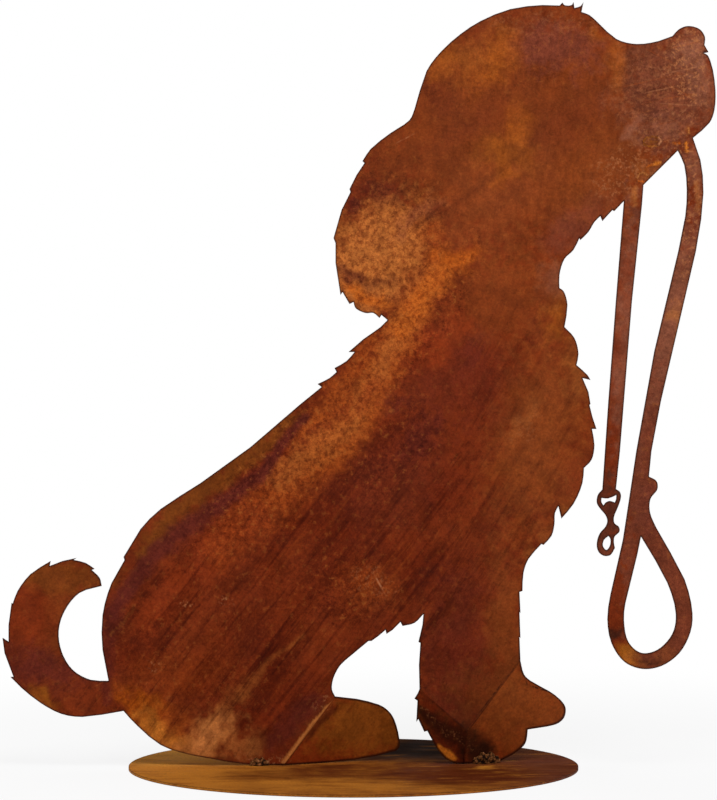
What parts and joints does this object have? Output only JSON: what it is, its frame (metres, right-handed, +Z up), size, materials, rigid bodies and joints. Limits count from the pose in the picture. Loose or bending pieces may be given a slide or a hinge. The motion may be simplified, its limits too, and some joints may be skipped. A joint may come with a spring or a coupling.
{
  "type": "rusted sheet-steel dog silhouette sculpture",
  "caption": "Garden silhouette of a sitting puppy holding its own leash, cut from one rusted steel sheet with feet folded back, tack-welded upright on a thin round plate.",
  "frame": {"origin": "middle of the round plate's underside", "axes": "+Z up, +X towards the nose (the figure's right in the picture), -Y towards the viewer of the flat face, +Y behind the sheet"},
  "size_m": [0.5581, 0.352, 0.5995],
  "materials": {
    "rusted_sheet": "bare sheet steel rusted all over: deep red-brown with brushed diagonal streaks, tan-orange and dark mottling on ear and chest",
    "rusted_plate": "bare sheet steel rusted all over: golden ochre with streaks, brown-red on the right",
    "rusted_weld": "as-welded steel bead, rusted dark brown"
  },
  "bodies": {
    "root": {"dog_with_leash": "rusted_sheet", "base_plate": "rusted_plate", "weld_rump": "rusted_weld", "weld_front_foot": "rusted_weld"}
  },
  "joints": []
}
